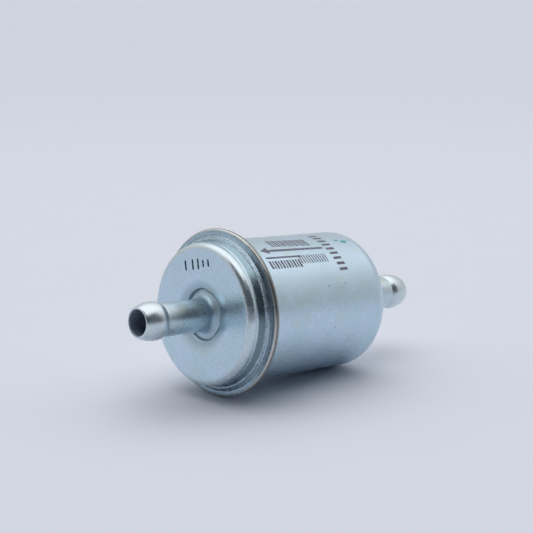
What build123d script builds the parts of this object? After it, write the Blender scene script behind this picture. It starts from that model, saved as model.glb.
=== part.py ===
"""Inline fuel filter: a sealed steel can with a hose spigot at each end.

Frame: millimetres, +X along the flow (inlet at -X, outlet at +X), +Z up,
origin on the flow axis, midway between the two spigot tips.
"""
from build123d import *
from math import cos, pi, sin
import os

os.makedirs("parts", exist_ok=True)

# hose spigots, for 5/16 in (8 mm) hose; S runs outward from the spigot's seat
SEAT_X = 24.3
TUBE_R = 4.0
BORE_R = 3.0
TIP_S = 20.7
TAIL_S = -1.6
BEAD_S = 16.75
BEAD_R = 4.55
BEAD_BACK = 2.25
NOSE_R = 3.6
FLANGE_R = 5.55
FLANGE_T = 0.4
FLANGE_EDGE = 0.12
TRUMPET_R = 1.5
BRAZE = 0.55

# can
CAN_R = 17.25
CAN_T = 0.7
HEEL_R = 4.6
HEEL_X = -18.0
HEEL_TURN = 75
LAND_R = 7.0

# seam between can and lid
RIM_R = 20.2
HEM_X = 20.8
HEM_BACK_X = 19.25
HEM_R = 18.88
HEM_GAP = 0.1
SEAM_X = 30.13
SEAM_SLOPE = 0.5
LID_BACK = 0.6
GASKET_BACK = 0.75
CAN_BACK = 1.45

# lid
LID_T = 0.9
LID_R = 19.3
FACE_X = 25.9
PLATEAU_R = 17.1
PLATEAU_FILLET = 1.5
FLARE_X = 23.6
RIDGE_X = 21.8
RIDGE_IN_R = 17.7
RIDGE_OUT_R = 18.0
FOOT_R = 18.2
DISH_FLOOR_R = 6.0
DISH_LIP_X = 25.2
DISH_LIP_R = 6.3
DISH_TOP_R = 8.9
DISH_WALL = 0.6

# outlet mark: plain bars struck in the lid, as (offset, length), centred MARK_R from the axis
MARK_TURN = 13
MARK_R = 12.0
MARK_BARS = ((-3.6, 2.5), (-1.0, 2.6), (0.9, 2.6), (2.7, 1.8), (4.5, 1.8))
BAR_W = 0.55
BAR_DEPTH = 0.3

# filter element
CAP_T = 0.4
CAP_R = 14.6
SKIRT_L = 3.0
EAR_R = 16.5
EAR_W = 3.0
OUTLET_CAP_X = 20.5
INLET_CAP_X = -17.0
POTTING_T = 1.5
CORE_R = 6.3
CORE_T = 0.5
CORE_HOLE_R = 1.2
CORE_ROWS = 6
PLEATS = 28
PLEAT_OUT_R = 13.9
PLEAT_IN_R = 6.5
PLEAT_SHIFT = 2.7
CLIP_T = 0.6
CLIP_R = 12.35
CLIP_W = 2.9
GROMMET_BORE_R = 4.8
GROMMET_FACE_R = 6.2
GROMMET_BASE_R = 7.4
CAP_HOLE_R = 5.3
BOSS_R = 4.4
BOSS_H = 1.5

# spring
SPRING_R = 5.6
WIRE_R = 0.45
SPRING_TURNS = 3.5


def save(block, name):
    """Label a finished part and write it to its own STEP file."""
    block.part.label = name
    export_step(block.part, f"parts/{name}.step")


def seam_x(r, back=0.0):
    """X at radius r on the front of the lid's sloping flange, or that far behind it."""
    return SEAM_X - back - SEAM_SLOPE * r


def corner(x, r):
    """The vertex of the sketch in work that lies nearest to (x, r)."""
    return vertices().sort_by_distance(Vector(x, r))[0]


def star(tip_r, root_r):
    """Points of a star with one tip for each pleat."""
    step = pi / PLEATS
    radii = (tip_r, root_r)
    return [(radii[i % 2] * cos(i * step), radii[i % 2] * sin(i * step)) for i in range(2 * PLEATS)]


# one spigot and its braze fillet, on a seat at X = 0, used at both ends
with BuildPart() as spigot:
    with BuildSketch(Plane.XZ):
        with BuildLine():
            trumpet_top = (FLANGE_T + TRUMPET_R, TUBE_R)
            bead_start = (BEAD_S - BEAD_BACK, TUBE_R)
            bead_crest = (BEAD_S, BEAD_R)
            Polyline((TAIL_S, BORE_R), (TAIL_S, TUBE_R), (0, TUBE_R), (0, FLANGE_R), (FLANGE_T, FLANGE_R))
            RadiusArc((FLANGE_T, FLANGE_R), trumpet_top, -TRUMPET_R)
            Line(trumpet_top, bead_start)
            ThreePointArc(bead_start, (BEAD_S - 0.6 * BEAD_BACK, BEAD_R - 0.13), bead_crest)
            nose = TangentArc(bead_crest, (TIP_S - 0.15, NOSE_R), tangent=(1, 0))
            bore_edge = (TIP_S - 0.3, BORE_R)
            Polyline(nose @ 1, (TIP_S, NOSE_R - 0.2), (TIP_S, BORE_R + 0.15), bore_edge, (TAIL_S, BORE_R))
        make_face()
        fillet(corner(FLANGE_T, FLANGE_R), FLANGE_EDGE)
    revolve(axis=Axis.X)

with BuildPart() as braze:
    with BuildSketch(Plane.XZ):
        with BuildLine():
            Polyline((0, TUBE_R), (0, TUBE_R + BRAZE), (-BRAZE, TUBE_R), close=True)
        make_face()
    revolve(axis=Axis.X)

with BuildPart() as outlet_spigot:
    with Locations((SEAT_X, 0, 0)):
        add(spigot.part)
save(outlet_spigot, "outlet_spigot")

with BuildPart() as inlet_spigot:
    with Locations(Location((-SEAT_X, 0, 0), (0, 180, 0))):
        add(spigot.part)
save(inlet_spigot, "inlet_spigot")

with BuildPart() as outlet_braze:
    with Locations((SEAT_X - LID_T, 0, 0)):
        add(braze.part)
save(outlet_braze, "outlet_braze")

with BuildPart() as inlet_braze:
    with Locations(Location((CAN_T - SEAT_X, 0, 0), (0, 180, 0))):
        add(braze.part)
save(inlet_braze, "inlet_braze")

# deep-drawn can: coned end, wide heel, straight wall and a hem folded round the lid's edge
with BuildPart() as can:
    with BuildSketch(Plane.XZ):
        with BuildLine():
            heel = CenterArc((HEEL_X, CAN_R - HEEL_R), HEEL_R, 90, HEEL_TURN)
            inner_heel = CenterArc((HEEL_X, CAN_R - HEEL_R), HEEL_R - CAN_T, 90, HEEL_TURN)
            Polyline(
                heel @ 1,
                (-SEAT_X, LAND_R),
                (-SEAT_X, TUBE_R),
                (CAN_T - SEAT_X, TUBE_R),
                (CAN_T - SEAT_X, LAND_R),
                inner_heel @ 1,
            )
            Polyline(
                heel @ 0,
                (seam_x(CAN_R, CAN_BACK), CAN_R),
                (HEM_BACK_X, HEM_R),
                (HEM_BACK_X, RIM_R),
                (HEM_X, RIM_R),
                (HEM_X, HEM_R),
                (seam_x(HEM_R), HEM_R),
                (seam_x(LID_R + HEM_GAP), LID_R + HEM_GAP),
                (seam_x(LID_R + HEM_GAP, GASKET_BACK), LID_R + HEM_GAP),
                (seam_x(CAN_R - CAN_T, GASKET_BACK), CAN_R - CAN_T),
                inner_heel @ 0,
            )
        make_face()
        fillet(corner(-SEAT_X, LAND_R), 2.0)
        fillet(corner(CAN_T - SEAT_X, LAND_R), 1.5)
        fillet(corner(seam_x(CAN_R, CAN_BACK), CAN_R), 0.5)
        fillet(corner(seam_x(CAN_R - CAN_T, GASKET_BACK), CAN_R - CAN_T), 0.5)
        fillet(corner(HEM_BACK_X, RIM_R), 0.9)
        fillet(corner(HEM_X, RIM_R), 0.6)
        fillet(corner(HEM_X, HEM_R), 0.08)
    revolve(axis=Axis.X)
save(can, "can")

# sealing ring squeezed in the seam
with BuildPart() as seam_gasket:
    with BuildSketch(Plane.XZ):
        with BuildLine():
            Polyline(
                (seam_x(RIDGE_IN_R, LID_BACK), RIDGE_IN_R),
                (seam_x(LID_R, LID_BACK), LID_R),
                (seam_x(LID_R, GASKET_BACK), LID_R),
                (seam_x(RIDGE_IN_R, GASKET_BACK), RIDGE_IN_R),
                close=True,
            )
        make_face()
    revolve(axis=Axis.X)
save(seam_gasket, "seam_gasket")

# pressed lid: raised plateau on a flared wall, dished seat for the spigot, ridge, sloping flange, struck mark
with BuildPart() as lid:
    with BuildSketch(Plane.XZ):
        with BuildLine():
            Polyline(
                (SEAT_X, TUBE_R),
                (SEAT_X, DISH_FLOOR_R),
                (DISH_LIP_X, DISH_LIP_R),
                (FACE_X, DISH_TOP_R),
                (FACE_X, PLATEAU_R),
                (FLARE_X, PLATEAU_R),
                (RIDGE_X, RIDGE_IN_R),
                (RIDGE_X, RIDGE_OUT_R),
                (seam_x(FOOT_R), FOOT_R),
                (seam_x(LID_R), LID_R),
                (seam_x(LID_R, LID_BACK), LID_R),
                (seam_x(RIDGE_IN_R - LID_T, LID_BACK), RIDGE_IN_R - LID_T),
                (FLARE_X, PLATEAU_R - LID_T),
                (FACE_X - LID_T, PLATEAU_R - LID_T),
                (FACE_X - LID_T, DISH_TOP_R),
                (DISH_LIP_X - LID_T, DISH_LIP_R + DISH_WALL),
                (SEAT_X - LID_T, DISH_FLOOR_R + DISH_WALL),
                (SEAT_X - LID_T, TUBE_R),
                close=True,
            )
        make_face()
        fillet(corner(SEAT_X, DISH_FLOOR_R), 0.2)
        fillet(corner(DISH_LIP_X, DISH_LIP_R), 0.35)
        fillet(corner(FACE_X, DISH_TOP_R), 6.0)
        fillet(corner(FACE_X, PLATEAU_R), PLATEAU_FILLET)
        fillet(corner(FACE_X - LID_T, PLATEAU_R - LID_T), PLATEAU_FILLET - LID_T)
        fillet(corner(FLARE_X, PLATEAU_R), 1.0)
        fillet(corner(RIDGE_X, RIDGE_IN_R), 0.08)
        fillet(corner(RIDGE_X, RIDGE_OUT_R), 0.12)
        fillet(corner(seam_x(FOOT_R), FOOT_R), 0.2)
    revolve(axis=Axis.X)
    with BuildSketch(Plane.YZ.offset(FACE_X).rotated((MARK_TURN, 0, 0))):
        for offset, length in MARK_BARS:
            with Locations((offset, MARK_R)):
                SlotOverall(length, BAR_W, rotation=90)
    extrude(amount=-BAR_DEPTH, mode=Mode.SUBTRACT)
save(lid, "lid")

# end caps of the element, each with four ears that centre it in the can
with BuildPart() as element_outlet_cap:
    with BuildSketch(Plane.XZ):
        with BuildLine():
            Polyline(
                (OUTLET_CAP_X, CAP_HOLE_R),
                (OUTLET_CAP_X + CAP_T, CAP_HOLE_R),
                (OUTLET_CAP_X + CAP_T, CAP_R),
                (OUTLET_CAP_X + CAP_T - SKIRT_L, CAP_R),
                (OUTLET_CAP_X + CAP_T - SKIRT_L, CAP_R - CAP_T),
                (OUTLET_CAP_X, CAP_R - CAP_T),
                close=True,
            )
        make_face()
        fillet(corner(OUTLET_CAP_X + CAP_T, CAP_R), 0.35)
    revolve(axis=Axis.X)
    with BuildSketch(Plane.YZ.offset(OUTLET_CAP_X + CAP_T - SKIRT_L)):
        Rectangle(2 * EAR_R + 1, EAR_W)
        Rectangle(EAR_W, 2 * EAR_R + 1)
        Circle(EAR_R, mode=Mode.INTERSECT)
        Circle(CAP_R - CAP_T, mode=Mode.SUBTRACT)
    extrude(amount=CAP_T)
save(element_outlet_cap, "element_outlet_cap")

with BuildPart() as element_inlet_cap:
    with BuildSketch(Plane.XZ):
        with BuildLine():
            Polyline(
                (INLET_CAP_X - CAP_T - BOSS_H, 0),
                (INLET_CAP_X - CAP_T - BOSS_H, BOSS_R - 0.5),
                (INLET_CAP_X - CAP_T, BOSS_R),
                (INLET_CAP_X - CAP_T, CAP_R),
                (INLET_CAP_X - CAP_T + SKIRT_L, CAP_R),
                (INLET_CAP_X - CAP_T + SKIRT_L, CAP_R - CAP_T),
                (INLET_CAP_X, CAP_R - CAP_T),
                (INLET_CAP_X, BOSS_R - CAP_T),
                (INLET_CAP_X - BOSS_H, BOSS_R - CAP_T - 0.5),
                (INLET_CAP_X - BOSS_H, 0),
                close=True,
            )
        make_face()
        fillet(corner(INLET_CAP_X - CAP_T, CAP_R), 0.35)
    revolve(axis=Axis.X)
    with BuildSketch(Plane.YZ.offset(INLET_CAP_X - 2 * CAP_T + SKIRT_L)):
        Rectangle(2 * EAR_R + 1, EAR_W)
        Rectangle(EAR_W, 2 * EAR_R + 1)
        Circle(EAR_R, mode=Mode.INTERSECT)
        Circle(CAP_R - CAP_T, mode=Mode.SUBTRACT)
    extrude(amount=CAP_T)
save(element_inlet_cap, "element_inlet_cap")

# adhesive that the paper's ends are set in
with BuildPart() as outlet_potting:
    with BuildSketch(Plane.YZ.offset(OUTLET_CAP_X - POTTING_T)):
        Circle(CAP_R - CAP_T)
        Circle(CORE_R, mode=Mode.SUBTRACT)
    extrude(amount=POTTING_T)
save(outlet_potting, "outlet_potting")

with BuildPart() as inlet_potting:
    with BuildSketch(Plane.YZ.offset(INLET_CAP_X)):
        Circle(CAP_R - CAP_T)
        Circle(CORE_R, mode=Mode.SUBTRACT)
    extrude(amount=POTTING_T)
save(inlet_potting, "inlet_potting")

# pleated paper between the two adhesive discs, and the clip that closes its seam
MEDIA_X = INLET_CAP_X + POTTING_T
MEDIA_L = OUTLET_CAP_X - POTTING_T - MEDIA_X
with BuildPart() as pleated_media:
    with BuildSketch(Plane.YZ.offset(MEDIA_X)):
        with BuildLine():
            Polyline(*star(PLEAT_OUT_R, PLEAT_IN_R + PLEAT_SHIFT), close=True)
        make_face()
        with BuildLine():
            Polyline(*star(PLEAT_OUT_R - PLEAT_SHIFT, PLEAT_IN_R), close=True)
        make_face(mode=Mode.SUBTRACT)
    extrude(amount=MEDIA_L)
save(pleated_media, "pleated_media")

with BuildPart() as media_seam_clip:
    with BuildSketch(Plane.YZ.offset(MEDIA_X)):
        with PolarLocations(CLIP_R, 1, start_angle=180 / PLEATS):
            Rectangle(CLIP_W, CLIP_T)
    extrude(amount=MEDIA_L)
save(media_seam_clip, "media_seam_clip")

# perforated centre tube that the paper leans on
with BuildPart() as core_tube:
    with BuildSketch(Plane.YZ.offset(INLET_CAP_X)):
        Circle(CORE_R)
        Circle(CORE_R - CORE_T, mode=Mode.SUBTRACT)
    extrude(amount=OUTLET_CAP_X - INLET_CAP_X)
    for row in range(CORE_ROWS):
        with Locations((MEDIA_X + MEDIA_L * (row + 0.5) / CORE_ROWS, 0, 0)):
            for turn in (0, 60, 120):
                drill_turn = turn + 30 * (row % 2)
                Cylinder(CORE_HOLE_R, 3 * CORE_R, rotation=(drill_turn, 0, 0), mode=Mode.SUBTRACT)
save(core_tube, "core_tube")

# rubber seal in the outlet cap's hole, its face on the inside of the lid
with BuildPart() as outlet_grommet:
    with BuildSketch(Plane.XZ):
        with BuildLine():
            Polyline(
                (OUTLET_CAP_X - 0.6, GROMMET_BORE_R),
                (SEAT_X - LID_T, GROMMET_BORE_R),
                (SEAT_X - LID_T, GROMMET_FACE_R),
                (OUTLET_CAP_X + CAP_T, GROMMET_BASE_R),
                (OUTLET_CAP_X + CAP_T, CAP_HOLE_R),
                (OUTLET_CAP_X, CAP_HOLE_R),
                (OUTLET_CAP_X, CAP_HOLE_R + 0.4),
                (OUTLET_CAP_X - 0.6, CAP_HOLE_R + 0.4),
                close=True,
            )
        make_face()
    revolve(axis=Axis.X)
save(outlet_grommet, "outlet_grommet")

# coil spring between the can's closed end and the inlet cap
with BuildPart() as element_spring:
    spring_start = CAN_T - SEAT_X + WIRE_R
    spring_l = INLET_CAP_X - CAP_T - WIRE_R - spring_start
    with BuildLine():
        pitch = spring_l / SPRING_TURNS
        coil = Helix(pitch, spring_l, SPRING_R, center=(spring_start, 0, 0), direction=(1, 0, 0))
    with BuildSketch(Plane(origin=coil @ 0, z_dir=coil % 0)):
        Circle(WIRE_R)
    sweep(is_frenet=True)
save(element_spring, "element_spring")
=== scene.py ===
"""Looks for the inline fuel filter: zinc-plated steel, printed marks, soft studio light and the camera.

Lengths are metres in the part's own frame: +X along the flow, +Z up, origin on the flow axis.
Angles round the can start at +Y and turn towards +Z.
"""
import math

import bmesh
import bpy
from mathutils import Matrix, Vector


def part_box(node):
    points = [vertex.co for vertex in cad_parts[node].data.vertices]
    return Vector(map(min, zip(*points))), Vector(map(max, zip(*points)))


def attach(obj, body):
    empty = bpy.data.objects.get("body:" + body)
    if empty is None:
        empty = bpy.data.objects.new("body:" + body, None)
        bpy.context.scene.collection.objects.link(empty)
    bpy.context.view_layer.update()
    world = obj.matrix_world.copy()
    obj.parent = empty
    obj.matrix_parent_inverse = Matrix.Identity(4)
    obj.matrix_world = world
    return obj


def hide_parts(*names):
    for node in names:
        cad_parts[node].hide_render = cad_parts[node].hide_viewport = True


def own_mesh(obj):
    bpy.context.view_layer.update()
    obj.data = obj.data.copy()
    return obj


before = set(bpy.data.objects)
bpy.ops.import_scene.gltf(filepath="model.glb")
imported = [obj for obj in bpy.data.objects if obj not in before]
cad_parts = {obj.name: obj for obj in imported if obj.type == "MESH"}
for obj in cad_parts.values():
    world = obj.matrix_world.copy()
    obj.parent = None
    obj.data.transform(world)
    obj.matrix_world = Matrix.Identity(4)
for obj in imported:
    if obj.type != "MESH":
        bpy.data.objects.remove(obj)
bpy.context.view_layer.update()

MM = 0.001
AXIS = Vector((1, 0, 0))

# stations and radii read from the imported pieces
HEM_X, _, RIM_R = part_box("can")[1]
TIP_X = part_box("outlet_spigot")[1].x
COLLAR_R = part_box("outlet_spigot")[1].z
FACE_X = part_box("lid")[1].x

# how far the hem stands out from the can's wall
HEM_STEP = 2.95 * MM

# radii of the can's wall, of its hem's inner edge, of the lid's plateau, ridge, struck mark and dish, and of
# the spigots' bore
WALL_R = RIM_R - HEM_STEP
HEM_R = 18.88 * MM
PLATEAU_R = 17.1 * MM
RIDGE_R = 17.85 * MM
MARK_IN_R = 9.5 * MM
MARK_OUT_R = 14.5 * MM
DISH_R = 8.9 * MM
BORE_R = 3.0 * MM

# the painted shade on the side with the print starts and is full this far to +Y
SIDE_SHADE_START = 12 * MM
SIDE_SHADE_FULL = 18 * MM

# ink stands this far proud of the can, and reaches this far into it
INK_T = 0.03 * MM
INK_ROOT = 0.03 * MM

# the angles, in degrees, at which flat print is cut so that it follows the can's wall
INK_CUTS = range(0, 111)


class Nodes:
    """Adds and links the nodes of one tree."""

    def __init__(self, tree, coordinates):
        self.tree = tree
        self.place = self.node("ShaderNodeTexCoord").outputs[coordinates]

    def feed(self, socket, value):
        if isinstance(value, bpy.types.NodeSocket):
            self.tree.links.new(value, socket)
        else:
            socket.default_value = value

    def node(self, kind, inputs=None, **settings):
        made = self.tree.nodes.new(kind)
        for key, value in settings.items():
            setattr(made, key, value)
        for key, value in (inputs or {}).items():
            self.feed(made.inputs[key], value)
        return made

    def math(self, operation, *values):
        inputs = dict(enumerate(values))
        return self.node("ShaderNodeMath", inputs, operation=operation).outputs[0]

    def ramp(self, value, low, high):
        """0 below low, 1 above high, smooth between; low above high turns it round."""
        flip = low > high
        start, stop = min(low, high), max(low, high)
        inputs = {"Value": value, "From Min": start, "From Max": stop}
        inputs.update({"To Min": float(flip), "To Max": float(not flip)})
        return self.node("ShaderNodeMapRange", inputs, interpolation_type="SMOOTHSTEP").outputs[0]

    def both(self, first, second):
        """1 where both masks are 1, 0 where either is 0."""
        return self.math("MULTIPLY", first, second)

    def band(self, value, low, high, soft):
        """1 between low and high, fading to 0 over soft outside them."""
        rise = self.ramp(value, low - soft, low)
        fall = self.ramp(value, high + soft, high)
        return self.both(rise, fall)

    def axes(self):
        """X, and the distance from the flow axis."""
        parts = self.node("ShaderNodeSeparateXYZ", {0: self.place})
        y2 = self.math("MULTIPLY", parts.outputs[1], parts.outputs[1])
        z2 = self.math("MULTIPLY", parts.outputs[2], parts.outputs[2])
        return parts.outputs[0], self.math("SQRT", self.math("ADD", y2, z2))

    def streaks(self):
        """Fine radial streaks, 0 to 1."""
        return self.ramp(self.noise(0.7 * MM, 2.0, 0.6, self.around()), 0.35, 0.65)

    def side_shade(self):
        """Painted shade: 1 on the side with the print, fading to 0 before the top and the bottom."""
        side = self.node("ShaderNodeSeparateXYZ", {0: self.place}).outputs[1]
        return self.ramp(side, SIDE_SHADE_START, SIDE_SHADE_FULL)

    def around(self):
        """The place moved along its radius to the rim, where noise makes radial streaks."""
        flat = self.stretched((0, 1, 1))
        unit = self.node("ShaderNodeVectorMath", {0: flat}, operation="NORMALIZE").outputs[0]
        return self.node("ShaderNodeVectorMath", {0: unit, "Scale": RIM_R}, operation="SCALE").outputs[0]

    def stretched(self, factors, shift=(0, 0, 0)):
        """The place, with each axis multiplied by its factor and then shifted."""
        inputs = {"Vector": self.place, "Scale": factors, "Location": shift}
        return self.node("ShaderNodeMapping", inputs).outputs[0]

    def noise(self, size, detail=3.0, roughness=0.5, place=None):
        """Noise whose features are about size across."""
        inputs = {"Vector": place or self.place, "Scale": 1 / size}
        inputs.update({"Detail": detail, "Roughness": roughness})
        return self.node("ShaderNodeTexNoise", inputs).outputs["Fac"]

    def specks(self, spacing, size):
        """1 in the middle of sparse round specks."""
        inputs = {"Vector": self.place, "Scale": 1 / spacing}
        cells = self.node("ShaderNodeTexVoronoi", inputs)
        return self.ramp(cells.outputs["Distance"], size / spacing, 0.5 * size / spacing)

    def mix(self, factor, first, second):
        made = self.node("ShaderNodeMix", data_type="RGBA")
        self.feed(made.inputs[0], factor)
        self.feed(made.inputs[6], first)
        self.feed(made.inputs[7], second)
        return made.outputs[2]

    def tint(self, base, mask, strength, colour):
        """The base with some of another colour laid over it where the mask is 1."""
        return self.mix(self.math("MULTIPLY", mask, strength), base, colour)

    def bump(self, height, distance, normal=None):
        inputs = {"Height": height, "Distance": distance, "Strength": 1.0}
        if normal:
            inputs["Normal"] = normal
        return self.node("ShaderNodeBump", inputs).outputs[0]


class Shader(Nodes):
    """One material."""

    def __init__(self, name):
        self.material = bpy.data.materials.new(name)
        self.material.use_nodes = True
        super().__init__(self.material.node_tree, "Object")
        self.surface = self.tree.nodes["Principled BSDF"]

    def finish(self, colour, roughness, normal=None, metallic=0.0):
        self.feed(self.surface.inputs["Base Color"], colour)
        self.feed(self.surface.inputs["Roughness"], roughness)
        self.feed(self.surface.inputs["Metallic"], metallic)
        if normal:
            self.feed(self.surface.inputs["Normal"], normal)
        return self.material


def rgb(red, green, blue):
    return (red, green, blue, 1.0)


# the plating's tones, from clean to worn, warm and dull, and what lies on it; the worn tone also serves as a
# painted highlight, and the dull tone and the grime also as painted shade
ZINC_COOL = rgb(0.57, 0.71, 0.83)
ZINC_TEAL = rgb(0.545, 0.70, 0.79)
ZINC_STAIN = rgb(0.63, 0.64, 0.55)
ZINC_WORN_AND_HIGHLIGHT = rgb(0.82, 0.84, 0.84)
ZINC_WARM = rgb(0.80, 0.76, 0.68)
ZINC_DULL_AND_SHADE = rgb(0.24, 0.35, 0.41)
BARE_EDGE = rgb(0.24, 0.22, 0.19)
GRIME_AND_SHADE = rgb(0.10, 0.13, 0.15)
RUST_FLECK = rgb(0.24, 0.19, 0.14)
BORE_DARK = rgb(0.28, 0.33, 0.42)

# the plating is not quite a bare metal, and its stains don't follow its clouds
METAL = 0.9
STAIN_SHIFT = 0.05


def zinc_colour(shader):
    """Mottled blue-grey plating with faint yellow stains."""
    clouds = shader.ramp(shader.noise(7 * MM), 0.4, 0.62)
    elsewhere = shader.stretched((1, 1, 1), (STAIN_SHIFT, 0, 0))
    stains = shader.ramp(shader.noise(4 * MM, 4.0, 0.6, elsewhere), 0.58, 0.74)
    colour = shader.mix(clouds, ZINC_COOL, ZINC_TEAL)
    return shader.tint(colour, stains, 0.55, ZINC_STAIN)


def zinc_roughness(shader, low, high):
    """Roughness between low and high, in patches."""
    patches = shader.noise(2.2 * MM, 4.0, 0.6)
    return shader.math("MULTIPLY_ADD", shader.ramp(patches, 0.3, 0.7), high - low, low)


def can_material():
    """Plated steel, pitted and scuffed. Its hem is darkened, with painted shade on its +Y side, warm at the
    lip, bare at the edge.
    """
    shader = Shader("plated_can")
    x, r = shader.axes()
    colour = zinc_colour(shader)
    hem = shader.ramp(r, HEM_R, HEM_R + 0.3 * MM)
    front = shader.ramp(x, HEM_X - 0.5 * MM, HEM_X - 0.3 * MM)
    flecks = shader.ramp(shader.noise(0.45 * MM, 4.0, 0.7), 0.57, 0.66)
    colour = shader.tint(colour, shader.both(hem, flecks), 0.45, RUST_FLECK)
    colour = shader.tint(colour, hem, 0.5, ZINC_DULL_AND_SHADE)
    colour = shader.tint(colour, shader.both(hem, shader.streaks()), 0.2, GRIME_AND_SHADE)
    # painted shade on the hem's +Y side
    colour = shader.tint(colour, shader.both(hem, shader.side_shade()), 0.5, GRIME_AND_SHADE)
    lip = shader.band(r, RIM_R - 0.38 * MM, RIM_R - 0.14 * MM, 0.12 * MM)
    colour = shader.tint(colour, shader.both(lip, front), 0.6, ZINC_WARM)
    edge = shader.ramp(r, RIM_R - 0.5 * MM, RIM_R - 0.2 * MM)
    behind = shader.ramp(x, HEM_X - 0.2 * MM, HEM_X - 0.4 * MM)
    colour = shader.tint(colour, shader.both(edge, behind), 0.85, BARE_EDGE)
    pits = shader.specks(4.8 * MM, 0.32 * MM)
    colour = shader.tint(colour, pits, 0.5, GRIME_AND_SHADE)
    scuffs = shader.ramp(shader.noise(0.5 * MM, 3.0, 0.6, shader.stretched((0.12, 1, 1))), 0.56, 0.7)
    patches = shader.ramp(shader.noise(8 * MM, 1.0), 0.45, 0.65)
    colour = shader.tint(colour, shader.both(scuffs, patches), 0.35, ZINC_DULL_AND_SHADE)
    lines = shader.noise(0.35 * MM, 2.0, 0.5, shader.stretched((1, 0.08, 0.08)))
    normal = shader.bump(shader.noise(6 * MM, 1.0), 0.05 * MM)
    normal = shader.bump(shader.noise(1.1 * MM, 2.0), 0.002 * MM, normal)
    normal = shader.bump(lines, 0.0008 * MM, normal)
    return shader.finish(colour, zinc_roughness(shader, 0.26, 0.33), normal, METAL)


def lid_material():
    """Plated steel: a warm flecked plateau edge, a worn ridge, a darkened flare and flange with painted shade
    on their +Y side, a hazy dish with painted shade towards the collar, and painted shade in the crease round
    the collar.
    """
    shader = Shader("plated_lid")
    x, r = shader.axes()
    colour = zinc_colour(shader)
    crown = shader.band(r, PLATEAU_R - 1.1 * MM, PLATEAU_R - 0.15 * MM, 0.3 * MM)
    colour = shader.tint(colour, crown, 0.3, ZINC_WARM)
    flecks = shader.ramp(shader.noise(0.5 * MM, 4.0, 0.7), 0.58, 0.66)
    patches = shader.ramp(shader.noise(9 * MM, 1.0), 0.45, 0.6)
    rust = shader.both(shader.both(crown, flecks), patches)
    colour = shader.tint(colour, rust, 0.5, RUST_FLECK)
    flare = shader.band(r, PLATEAU_R + 0.12 * MM, RIDGE_R - 0.2 * MM, 0.1 * MM)
    colour = shader.tint(colour, flare, 0.85, ZINC_DULL_AND_SHADE)
    ridge = shader.band(r, RIDGE_R - 0.12 * MM, RIDGE_R + 0.2 * MM, 0.08 * MM)
    wear = shader.both(ridge, shader.ramp(shader.noise(0.4 * MM, 3.0, 0.7), 0.44, 0.58))
    colour = shader.tint(colour, wear, 0.6, ZINC_WORN_AND_HIGHLIGHT)
    flange = shader.ramp(r, RIDGE_R + 0.3 * MM, RIDGE_R + 0.6 * MM)
    colour = shader.tint(colour, flange, 0.6, ZINC_DULL_AND_SHADE)
    colour = shader.tint(colour, shader.both(flange, shader.streaks()), 0.35, GRIME_AND_SHADE)
    # painted shade on the +Y side of the flange and the flare
    side_shade = shader.both(shader.side_shade(), shader.math("MAXIMUM", flange, flare))
    colour = shader.tint(colour, side_shade, 0.6, GRIME_AND_SHADE)
    # the dish is rougher towards the collar, and darkened there as painted shade in the recess
    haze_and_shade = shader.ramp(r, DISH_R, DISH_R - 2.2 * MM)
    colour = shader.tint(colour, haze_and_shade, 0.45, ZINC_DULL_AND_SHADE)
    # painted shade in the crease round the collar's edge
    crease = shader.ramp(r, COLLAR_R + 0.75 * MM, COLLAR_R + 0.5 * MM)
    colour = shader.tint(colour, crease, 0.15, GRIME_AND_SHADE)
    sunk = shader.ramp(x, FACE_X - 0.06 * MM, FACE_X - 0.2 * MM)
    mark = shader.band(r, MARK_IN_R, MARK_OUT_R, 0.1 * MM)
    colour = shader.tint(colour, shader.both(sunk, mark), 0.75, GRIME_AND_SHADE)
    pits = shader.specks(4.6 * MM, 0.2 * MM)
    colour = shader.tint(colour, pits, 0.3, GRIME_AND_SHADE)
    normal = shader.bump(shader.noise(6 * MM, 1.0), 0.04 * MM)
    normal = shader.bump(shader.noise(1.1 * MM, 2.0), 0.002 * MM, normal)
    normal = shader.bump(wear, 0.04 * MM, normal)
    roughness = shader.math("MULTIPLY_ADD", haze_and_shade, 0.12, zinc_roughness(shader, 0.22, 0.32))
    return shader.finish(colour, roughness, normal, METAL)


def spigot_material():
    """Plated tube: brighter at its bead, with a painted highlight on its collar's edge, dull on the collar,
    dark in its bore.
    """
    shader = Shader("bright_plated_spigot")
    x, r = shader.axes()
    reach = shader.math("ABSOLUTE", x)

    def from_tip(start, stop):
        """0 at start and 1 at stop, both in mm back from the spigot's tip."""
        return shader.ramp(reach, TIP_X - start * MM, TIP_X - stop * MM)

    colour = shader.tint(zinc_colour(shader), from_tip(19, 17), 0.25, ZINC_STAIN)
    colour = shader.tint(colour, from_tip(6.6, 5.6), 0.3, ZINC_WORN_AND_HIGHLIGHT)
    collar = from_tip(18.6, 20.1)
    colour = shader.tint(colour, collar, 0.2, ZINC_DULL_AND_SHADE)
    # a painted highlight on the collar's edge
    edge = shader.ramp(r, COLLAR_R - 0.14 * MM, COLLAR_R - 0.05 * MM)
    colour = shader.tint(colour, edge, 0.7, ZINC_WORN_AND_HIGHLIGHT)
    bore = shader.ramp(r, BORE_R + 0.25 * MM, BORE_R + 0.1 * MM)
    colour = shader.mix(bore, colour, BORE_DARK)
    roughness = shader.math("MULTIPLY_ADD", collar, 0.22, zinc_roughness(shader, 0.25, 0.34))
    roughness = shader.math("MULTIPLY_ADD", bore, 0.3, roughness)
    normal = shader.bump(shader.noise(2.5 * MM, 1.0), 0.02 * MM)
    normal = shader.bump(shader.noise(0.5 * MM, 2.0), 0.003 * MM, normal)
    metallic = shader.math("MULTIPLY_ADD", bore, -0.4, METAL)
    return shader.finish(colour, roughness, normal, metallic)


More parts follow.
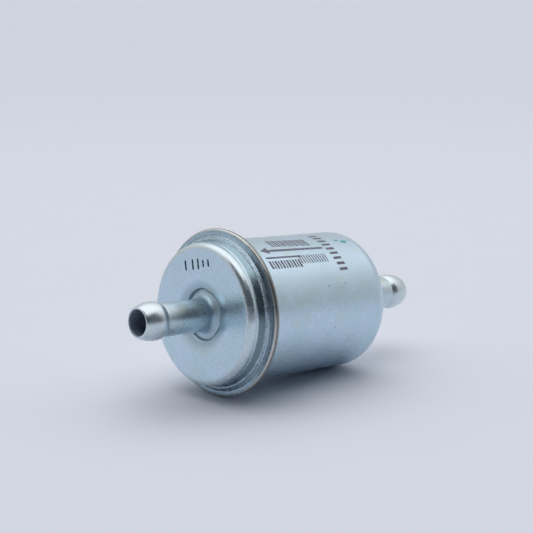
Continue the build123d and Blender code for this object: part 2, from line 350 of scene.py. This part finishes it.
def ink_material(name, ink):
    """Matt ink, worn through to the plating in small patches."""
    shader = Shader(name)
    worn = shader.ramp(shader.noise(0.5 * MM, 3.0, 0.7), 0.52, 0.7)
    colour = shader.tint(ink, worn, 0.6, ZINC_COOL)
    return shader.finish(colour, 0.45, None, shader.math("MULTIPLY", worn, 0.7))


def plain_material(name, first, second, size, roughness, depth, metallic):
    """Two tones in patches of about size, with a fine bump, for a piece sealed inside."""
    shader = Shader(name)
    colour = shader.mix(shader.ramp(shader.noise(size, 4.0, 0.6), 0.35, 0.65), first, second)
    grain = shader.noise(size / 8, 3.0, 0.6)
    rough = shader.math("MULTIPLY_ADD", grain, 0.2, roughness - 0.1)
    return shader.finish(colour, rough, shader.bump(grain, depth), metallic)


def add(data, name):
    made = bpy.data.objects.new(name, data)
    bpy.context.scene.collection.objects.link(made)
    return made


def wrapped(name, outlines, material):
    """Flat outlines, as (x in mm, angle in degrees) points, wrapped on the can as thin closed solids.

    Known fault: the faces of these solids point inwards.
    """
    made = bmesh.new()
    for outline in outlines:
        corners = [(x * MM, math.radians(angle) * WALL_R, 0) for x, angle in outline]
        made.faces.new([made.verts.new(corner) for corner in corners])
    for angle in INK_CUTS:
        cut = Vector((0, math.radians(angle) * WALL_R, 0))
        geometry = made.verts[:] + made.edges[:] + made.faces[:]
        bmesh.ops.bisect_plane(made, geom=geometry, plane_co=cut, plane_no=(0, 1, 0))
    bmesh.ops.recalc_face_normals(made, faces=made.faces)
    upper = bmesh.ops.extrude_face_region(made, geom=made.faces[:])
    for vert in (part for part in upper["geom"] if isinstance(part, bmesh.types.BMVert)):
        vert.co.z = INK_T + INK_ROOT
    for vert in made.verts:
        radius = WALL_R - INK_ROOT + vert.co.z
        angle = vert.co.y / WALL_R
        vert.co = Vector((vert.co.x, radius * math.cos(angle), radius * math.sin(angle)))
    bmesh.ops.recalc_face_normals(made, faces=made.faces)
    mesh = bpy.data.meshes.new(name)
    made.to_mesh(mesh)
    made.free()
    mesh.materials.append(material)
    piece = add(mesh, name)
    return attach(piece, "housing")


def half_angle(height):
    """Half the angle, in degrees, that a height in mm takes up round the can."""
    return math.degrees(height * MM / WALL_R) / 2


def bar(x, angle, width, height):
    """One plain bar: width along x in mm, height round the can in mm."""
    half = half_angle(height)
    left, right = x - width / 2, x + width / 2
    return [(left, angle - half), (right, angle - half), (right, angle + half), (left, angle + half)]


def row_of_bars(start, stop, angle, turn, widths, gap, height):
    """Plain bars side by side from x start down to x stop, in mm; turn is the row's drift in degrees."""
    bars, x, count = [], start, 0
    while x > stop:
        width = widths[count % len(widths)]
        share = (start - x) / (start - stop)
        bars.append(bar(x - width / 2, angle + turn * share, width, height))
        x -= width + gap
        count += 1
    return bars


def ellipse(x, angle, length, height, points=20):
    """One dab: length along x in mm, height round the can in mm."""
    turns = [2 * math.pi * i / points for i in range(points)]
    half = half_angle(height)
    return [(x + length / 2 * math.cos(t), angle + half * math.sin(t)) for t in turns]


def printed_marks():
    """A flow arrow and plain bars, in dark ink, and three small dabs of inspection paint."""
    ink = ink_material("marking_ink", rgb(0.11, 0.10, 0.15))
    paint = ink_material("inspection_paint", rgb(0.03, 0.36, 0.33))
    shaft = [(-5.9, 61.1), (-5.9, 63.2), (12.4, 65.4), (12.4, 62.8)]
    head = [(12.4, 60.3), (14.7, 64.6), (12.1, 68.8)]
    wrapped("print_arrow_shaft", [shaft], ink)
    wrapped("print_arrow_head", [head], ink)
    wrapped("print_underline", [[(3.7, 54.0), (3.7, 55.7), (14.9, 56.5), (14.9, 54.7)]], ink)
    wrapped("print_upper_bars", row_of_bars(9.4, -2.8, 74.3, -2.2, (0.55, 0.34), 0.52, 3.2), ink)
    wrapped("print_lower_bars", row_of_bars(15.0, 5.4, 48.3, -0.6, (0.6, 0.38), 0.46, 2.3), ink)
    wrapped("print_rear_bars", row_of_bars(4.5, -4.2, 51.3, -0.5, (0.3,), 0.57, 2.6), ink)
    ring = [bar(-8.2, 38.5 + 5.5 * i, 2.7, 0.75) for i in range(9)]
    wrapped("print_ring_bars", ring, ink)
    wrapped("paint_dab_long", [ellipse(-15.2, 68.2, 1.9, 1.2)], paint)
    wrapped("paint_dab_short", [ellipse(-13.2, 70.8, 1.5, 0.5)], paint)
    wrapped("paint_dot", [ellipse(-1.1, 25.2, 0.6, 0.35)], paint)


def shortening_spring(material):
    """The coil spring, as a copy of the imported spring attached to the housing, with the imported spring
    hidden.
    """
    coil = add(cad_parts["element_spring"].data.copy(), "coil_spring")
    coil.data.materials.clear()
    coil.data.materials.append(material)
    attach(coil, "housing")
    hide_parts("element_spring")
    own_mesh(coil)


def dress(material, *nodes):
    for node in nodes:
        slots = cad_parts[node].data.materials
        slots.clear()
        slots.append(material)


# the pieces sealed inside: material, its two tones, the size of their patches in mm, roughness, the depth of
# the grain in mm, metallic, and the nodes that wear it
INSIDE = (
    ("braze", (0.72, 0.52, 0.27), (0.55, 0.40, 0.24), 1.5, 0.35, 0.01, 1.0,
     ("outlet_braze", "inlet_braze")),
    ("tinplate", (0.60, 0.61, 0.62), (0.48, 0.50, 0.52), 3, 0.33, 0.004, 1.0,
     ("element_outlet_cap", "element_inlet_cap", "core_tube", "media_seam_clip")),
    ("spring_steel", (0.33, 0.34, 0.36), (0.22, 0.22, 0.24), 2, 0.35, 0.004, 1.0,
     ("element_spring",)),
    ("sealing_rubber", (0.022, 0.022, 0.024), (0.04, 0.04, 0.042), 1.5, 0.6, 0.01, 0.0,
     ("seam_gasket", "outlet_grommet")),
    ("adhesive", (0.55, 0.47, 0.30), (0.42, 0.34, 0.20), 2.5, 0.45, 0.02, 0.0,
     ("outlet_potting", "inlet_potting")),
    ("filter_paper", (0.62, 0.47, 0.24), (0.50, 0.36, 0.17), 1.2, 0.85, 0.02, 0.0,
     ("pleated_media",)),
)


def dress_all():
    dress(can_material(), "can")
    dress(lid_material(), "lid")
    dress(spigot_material(), "outlet_spigot", "inlet_spigot")
    for name, first, second, size, roughness, depth, metallic, nodes in INSIDE:
        material = plain_material(name, rgb(*first), rgb(*second), size * MM, roughness, depth * MM, metallic)
        dress(material, *nodes)
    shortening_spring(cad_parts["element_spring"].data.materials[0])


def resting_tilt():
    """The lean of the floor under the part, which lies on its rim and its heel, and a point on that floor."""
    verts = [v.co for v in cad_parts["can"].data.vertices]
    rim = min((v for v in verts if v.x > 0), key=lambda v: v.z)
    tilt = min(math.atan2(v.z - rim.z, rim.x - v.x) for v in verts if v.x < 0)
    return tilt, Vector((rim.x, 0, rim.z))


TILT, RIM_FOOT = resting_tilt()
UP = Vector((math.sin(TILT), 0, math.cos(TILT)))
FLOOR_TURN = Matrix.Rotation(TILT, 4, "Y")


def aim(thing, place, target):
    """Stands a lamp or camera at place, looking at target, level with the floor."""
    back = (place - target).normalized()
    side = UP.cross(back).normalized()
    turn = Matrix((side, back.cross(side), back)).transposed().to_4x4()
    thing.matrix_world = Matrix.Translation(place) @ turn


def bearing(heading, pitch):
    """A unit vector at a heading round the floor's normal, from +X towards +Y, and a pitch over the floor."""
    level = Matrix.Rotation(heading, 3, UP) @ (FLOOR_TURN.to_3x3() @ AXIS)
    return level * math.cos(pitch) + UP * math.sin(pitch)


# the camera looks at AIM_POINT from this far away, at this heading and pitch over the floor
AIM_POINT = Vector((1.5, -3.6, 9.3)) * MM
CAMERA_DISTANCE = 340.2 * MM
CAMERA_HEADING = math.radians(46.03)
CAMERA_PITCH = math.radians(12.12)
CAMERA_LENS = 92.24


def add_camera():
    data = bpy.data.cameras.new("camera")
    data.lens = CAMERA_LENS
    data.sensor_width = 36
    data.clip_start = 0.01
    data.clip_end = 100
    camera = add(data, "camera")
    aim(camera, AIM_POINT + CAMERA_DISTANCE * bearing(CAMERA_HEADING, CAMERA_PITCH), AIM_POINT)
    bpy.context.scene.camera = camera


# from the floor's middle to its edge
FLOOR_REACH = 12.0


def add_floor():
    """A wide pale sheet under the part, which rests on it."""
    shader = Shader("pale_floor")
    grain = shader.noise(20 * MM, 3.0)
    colour = shader.mix(grain, rgb(0.685, 0.715, 0.795), rgb(0.695, 0.725, 0.805))
    material = shader.finish(colour, 0.9)
    shader.surface.inputs["Specular IOR Level"].default_value = 0.1
    mesh = bpy.data.meshes.new("floor")
    made = bmesh.new()
    bmesh.ops.create_grid(made, x_segments=8, y_segments=8, size=FLOOR_REACH)
    made.to_mesh(mesh)
    made.free()
    mesh.materials.append(material)
    floor = add(mesh, "floor")
    floor.matrix_world = Matrix.Translation(RIM_FOOT) @ FLOOR_TURN


# the sky, as (height of the direction, brightness), and the backdrop that the camera sees instead of it
SKY = ((0.0, 0.60), (0.34, 0.66), (0.574, 0.93), (0.788, 1.38))
BACKDROP = rgb(0.62, 0.64, 0.72)

# the dark gap on the camera's side and the dimmer side behind the part: each one's sides start and are full
# at these cosines of the turn from its middle, and its top at these heights of the direction
GAP_LIGHT = rgb(0.04, 0.05, 0.06)
GAP_TURN = math.radians(8)
GAP_SIDES = (0.17, 0.35)
GAP_TOP = (0.88, 0.77)
BEHIND_LIGHT = rgb(0.52, 0.54, 0.56)
BEHIND_STRENGTH = 0.5
BEHIND_SIDES = (0.5, 1.0)
BEHIND_TOP = (0.8, 0.6)

# the two lamps
KEY_PITCH = math.radians(66)
KEY_SPREAD = math.radians(50)
KEY_STRENGTH = 0.28
FILL_DISTANCE = 0.6
FILL_SIZE = 0.5
FILL_POWER = 0.25


def add_lamps():
    """A wide soft key from above and behind, and a softbox over the part. Neither shows in the metal."""
    behind = bearing(CAMERA_HEADING + math.pi, KEY_PITCH)
    key = bpy.data.lights.new("key", "SUN")
    key.angle = KEY_SPREAD
    key.energy = KEY_STRENGTH
    fill = bpy.data.lights.new("softbox", "AREA")
    fill.shape = "SQUARE"
    fill.size = FILL_SIZE
    fill.energy = FILL_POWER
    for lamp in (key, fill):
        stand = add(lamp, lamp.name)
        stand.visible_glossy = False
        aim(stand, AIM_POINT + FILL_DISTANCE * behind, AIM_POINT)


def add_studio():
    """Soft light all round and above, dimmer behind the part, with a dark gap on the camera's side."""
    world = bpy.data.worlds.new("studio")
    world.use_nodes = True
    bpy.context.scene.world = world
    nodes = Nodes(world.node_tree, "Generated")

    def along(direction):
        inputs = {0: nodes.place, 1: direction}
        return nodes.node("ShaderNodeVectorMath", inputs, operation="DOT_PRODUCT").outputs["Value"]

    height = along(UP)
    level = nodes.math("SQRT", nodes.math("SUBTRACT", 1.0, nodes.math("MULTIPLY", height, height)))

    def side(heading, sides, top):
        """1 in the middle of one side of the sky, fading out to its sides and its top."""
        facing = nodes.math("DIVIDE", along(bearing(heading, 0)), level)
        return nodes.both(nodes.ramp(facing, *sides), nodes.ramp(height, *top))

    gap = side(CAMERA_HEADING + GAP_TURN, GAP_SIDES, GAP_TOP)
    behind = side(CAMERA_HEADING + math.pi, BEHIND_SIDES, BEHIND_TOP)
    sky = nodes.node("ShaderNodeValToRGB", {"Fac": height})
    while len(sky.color_ramp.elements) < len(SKY):
        sky.color_ramp.elements.new(0.5)
    for element, (place, bright) in zip(sky.color_ramp.elements, SKY):
        element.position = place
        element.color = rgb(bright, bright, bright)
    light = nodes.tint(sky.outputs["Color"], behind, BEHIND_STRENGTH, BEHIND_LIGHT)
    light = nodes.mix(gap, light, GAP_LIGHT)
    seen = nodes.node("ShaderNodeLightPath").outputs["Is Camera Ray"]
    light = nodes.mix(seen, light, BACKDROP)
    nodes.feed(world.node_tree.nodes["Background"].inputs["Color"], light)


dress_all()
printed_marks()
add_camera()
add_floor()
add_lamps()
add_studio()
bpy.context.scene.view_settings.view_transform = "Standard"
